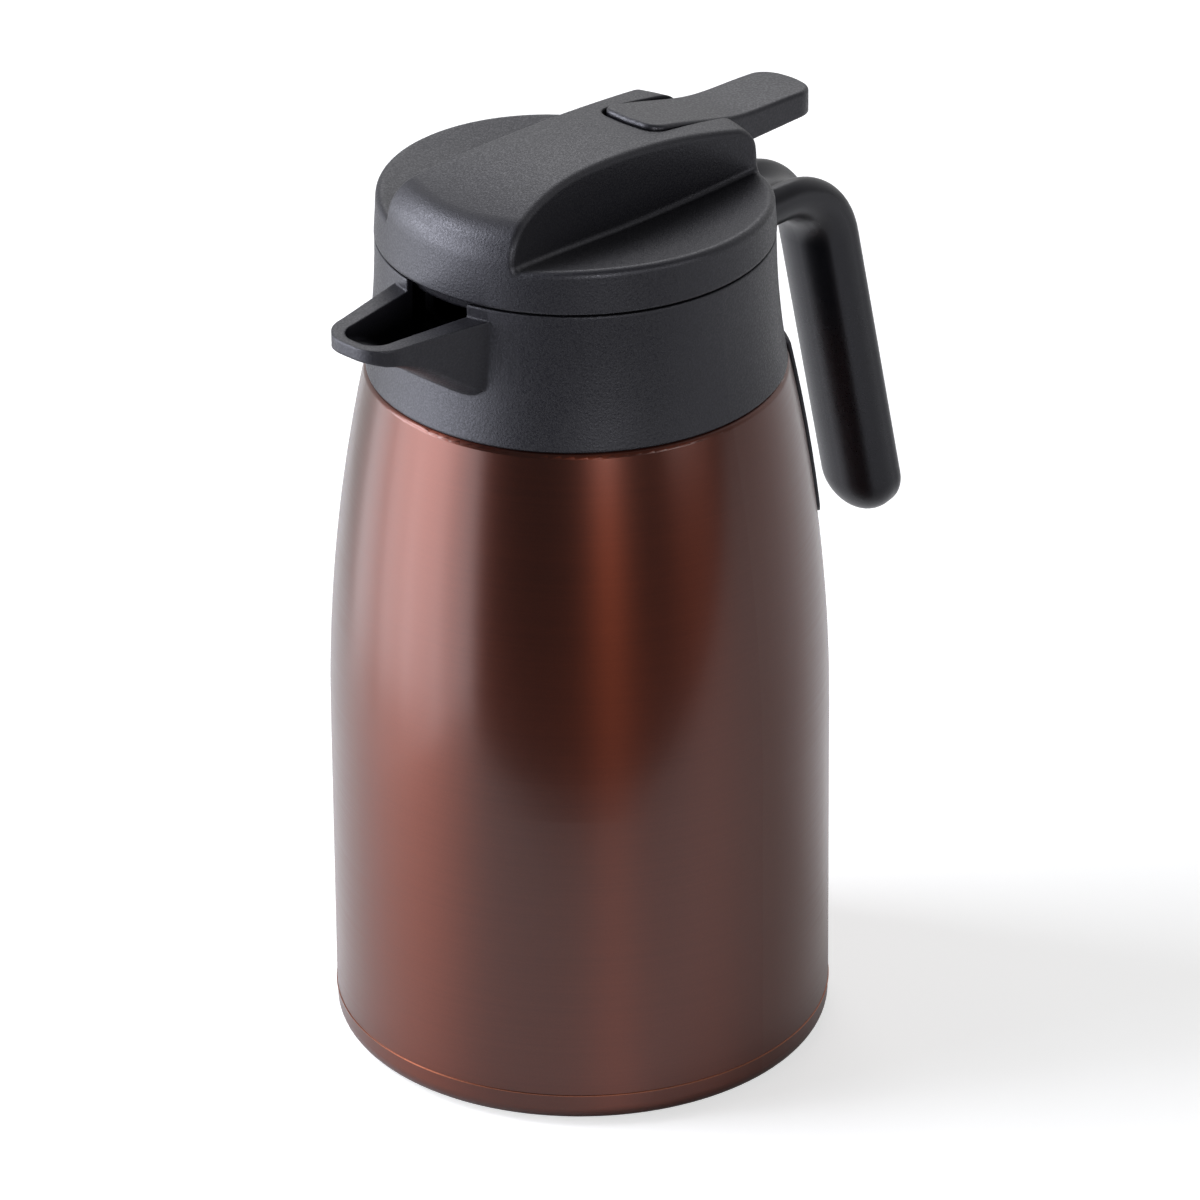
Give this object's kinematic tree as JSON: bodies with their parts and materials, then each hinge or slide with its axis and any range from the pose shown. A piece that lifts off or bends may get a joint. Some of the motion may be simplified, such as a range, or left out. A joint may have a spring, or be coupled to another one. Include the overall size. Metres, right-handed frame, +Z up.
{
  "type": "thermal pot",
  "caption": "Vacuum-walled table pot with a spouted collar, an open-ended handle and a twist-off stopper lid whose thumb lever lifts a spring-closed pouring valve.",
  "frame": {"origin": "middle of the base's underside, on the table", "axes": "+Z up, -Y towards the spout, +Y towards the handle; the pot is the same on both sides of X = 0"},
  "size_m": [0.13, 0.1967, 0.2519],
  "materials": {
    "brown_coat": "translucent brown lacquer over steel with fine hairlines round the body",
    "brown_coat_base": "satin brown lacquer",
    "steel": "plain stainless steel",
    "black_plastic": "fine moulded grain, satin",
    "lever_plastic": "smooth satin",
    "inner_plastic": "smooth, slightly glossy",
    "silicone": "translucent grey silicone",
    "pad_rubber": "matt"
  },
  "bodies": {
    "pot": {"outer_shell": "brown_coat", "inner_bottle": "steel", "shell_bottom": "steel", "getter": "steel", "base_cap": "brown_coat_base", "base_pad": "pad_rubber", "collar": "black_plastic", "neck_ring": "inner_plastic", "collar_gasket": "silicone", "mouth_gasket": "silicone", "handle": "black_plastic", "handle_screws": "steel"},
    "lid_seal": {"lid_packing": "silicone"},
    "lid": {"lid_cover": "black_plastic", "stopper_body": "inner_plastic", "stopper_base": "inner_plastic", "lid_screws": "steel", "lever_pin": "steel", "stem_packing": "silicone"},
    "lever": {"lever": "lever_plastic"},
    "valve": {"valve_stem": "steel", "valve_plug": "inner_plastic", "valve_seal": "silicone", "spring_seat": "inner_plastic", "stem_clip": "steel", "valve_spring": "steel"}
  },
  "joints": [
    {"name": "lid_lift", "type": "slide", "parent": "pot", "child": "lid_seal", "axis": [0, 0, 1], "range_m": [0, 0.06]},
    {"name": "lid_turn", "type": "hinge", "parent": "lid_seal", "child": "lid", "pos_m": [0, 0, 0.2], "axis": [0, 0, 1], "range_deg": [0, 90]},
    {"name": "lever_press", "type": "hinge", "parent": "lid", "child": "lever", "pos_m": [0, 0.033, 0.238], "axis": [-1, 0, 0], "range_deg": [-0.5, 10.6]},
    {"name": "valve_lift", "type": "slide", "parent": "lid", "child": "valve", "axis": [0, 0, 1], "range_m": [0, 0.00585], "stiffness_N_per_m": 250, "springref_m": -0.0015, "deforming": ["valve_spring"]}
  ],
  "couplings": [
    {"joint": "lever_press", "follows": "valve_lift", "rad_per_m": 29.797}
  ]
}
